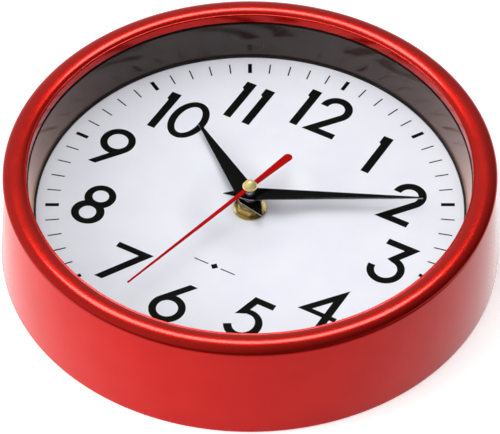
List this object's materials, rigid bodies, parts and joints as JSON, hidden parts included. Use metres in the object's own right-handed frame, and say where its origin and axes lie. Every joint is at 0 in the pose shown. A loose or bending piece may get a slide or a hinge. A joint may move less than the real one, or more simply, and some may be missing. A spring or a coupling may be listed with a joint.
{
  "type": "wall clock",
  "caption": "Round analogue quartz wall clock: deep flared drum case, oval-section bezel, flat lens, numbered white dial, three hands, battery movement and keyhole hanger.",
  "frame": {"origin": "where the hand axis meets the plane of the back rim, at the bottom centre of the box", "axes": "+Z along the hand axis, out of the dial; +Y towards 12 o'clock; +X towards 3 o'clock"},
  "size_m": [0.2084, 0.2084, 0.0462],
  "materials": {
    "red_satin_plastic": "satin moulded plastic",
    "red_gloss_plastic": "high gloss with a metallic depth",
    "clear_glass": "clear, polished",
    "black_rubber": "matt",
    "dark_gloss_plastic": "polished",
    "dial_white": "smooth printed sheet",
    "black_plastic": "fine moulded grain",
    "white_plastic": "smooth moulded",
    "brass": "bright, fine turned",
    "steel": "bright plated",
    "enamelled_copper": "clear enamel over wire",
    "hand_black": "gloss lacquer",
    "hand_red": "satin lacquer",
    "board_green": "solder mask",
    "magnet_grey": "sintered",
    "cell_sleeve": "printed sleeve on a steel can"
  },
  "bodies": {
    "clock_body": {"case_shell": "red_satin_plastic", "front_bezel": "red_gloss_plastic", "lens": "clear_glass", "lens_gasket": "black_rubber", "inner_ring": "dark_gloss_plastic", "chassis_ring": "black_plastic", "dial_plate": "dial_white", "rear_cover": "black_plastic", "hanger_plate": "steel", "cover_screw_1": "steel", "cover_screw_2": "steel", "cover_screw_3": "steel", "cover_screw_4": "steel", "hanger_screw_1": "steel", "hanger_screw_2": "steel", "movement_case": "black_plastic", "movement_front_plate": "black_plastic", "threaded_bushing": "brass", "rubber_washer": "black_rubber", "dial_washer": "brass", "hex_nut": "brass", "motor_stator": "steel", "coil_core": "steel", "coil_bobbin": "white_plastic", "coil_winding": "enamelled_copper", "circuit_board": "board_green", "chip_blob": "black_plastic", "quartz_crystal": "steel", "battery_cell": "cell_sleeve", "positive_contact": "steel", "negative_contact": "steel"},
    "second_hand_body": {"second_hand": "hand_red", "second_hand_cap": "brass", "second_wheel": "white_plastic"},
    "minute_hand_body": {"minute_hand": "hand_black", "minute_nut": "steel", "cannon_pinion": "white_plastic"},
    "hour_hand_body": {"hour_hand": "hand_black", "hour_boss": "steel", "hour_wheel": "white_plastic"},
    "centre_wheel_body": {"centre_wheel": "white_plastic"},
    "third_wheel_body": {"third_wheel": "white_plastic"},
    "intermediate_wheel_body": {"intermediate_wheel": "white_plastic"},
    "rotor_body": {"motor_rotor": "magnet_grey"},
    "minute_wheel_body": {"minute_wheel": "white_plastic"},
    "setting_knob_body": {"setting_knob": "white_plastic"}
  },
  "joints": [
    {"name": "second_hand_turn", "type": "hinge", "parent": "clock_body", "child": "second_hand_body", "pos_m": [0, 0, 0.033], "axis": [0, 0, -1], "continuous": true},
    {"name": "rotor_turn", "type": "hinge", "parent": "clock_body", "child": "rotor_body", "pos_m": [-0.00418, 0.01604, 0.0088], "axis": [0, 0, -1], "continuous": true},
    {"name": "intermediate_wheel_turn", "type": "hinge", "parent": "clock_body", "child": "intermediate_wheel_body", "pos_m": [-0.00156, 0.00882, 0.0064], "axis": [0, 0, -1], "continuous": true},
    {"name": "third_wheel_turn", "type": "hinge", "parent": "clock_body", "child": "third_wheel_body", "pos_m": [-0.009, 0, 0.0081], "axis": [0, 0, -1], "continuous": true},
    {"name": "centre_wheel_turn", "type": "hinge", "parent": "clock_body", "child": "centre_wheel_body", "pos_m": [0, 0, 0.01], "axis": [0, 0, -1], "continuous": true},
    {"name": "minute_hand_turn", "type": "hinge", "parent": "clock_body", "child": "minute_hand_body", "pos_m": [0, 0, 0.0289], "axis": [0, 0, -1], "continuous": true},
    {"name": "minute_wheel_turn", "type": "hinge", "parent": "clock_body", "child": "minute_wheel_body", "pos_m": [0.00831, 0.0048, 0.012], "axis": [0, 0, -1], "continuous": true},
    {"name": "hour_hand_turn", "type": "hinge", "parent": "clock_body", "child": "hour_hand_body", "pos_m": [0, 0, 0.0262], "axis": [0, 0, -1], "continuous": true},
    {"name": "setting_knob_turn", "type": "hinge", "parent": "clock_body", "child": "setting_knob_body", "pos_m": [0.01733, 0.00808, 0.0014], "axis": [0, 0, -1], "continuous": true}
  ],
  "couplings": [
    {"joint": "rotor_turn", "follows": "second_hand_turn", "ratio": 30},
    {"joint": "intermediate_wheel_turn", "follows": "second_hand_turn", "ratio": -6},
    {"joint": "third_wheel_turn", "follows": "second_hand_turn", "ratio": -0.13333},
    {"joint": "centre_wheel_turn", "follows": "second_hand_turn", "ratio": 0.016667},
    {"joint": "minute_wheel_turn", "follows": "minute_hand_turn", "ratio": -0.33333},
    {"joint": "hour_hand_turn", "follows": "minute_hand_turn", "ratio": 0.083333},
    {"joint": "setting_knob_turn", "follows": "minute_hand_turn", "ratio": 1}
  ]
}
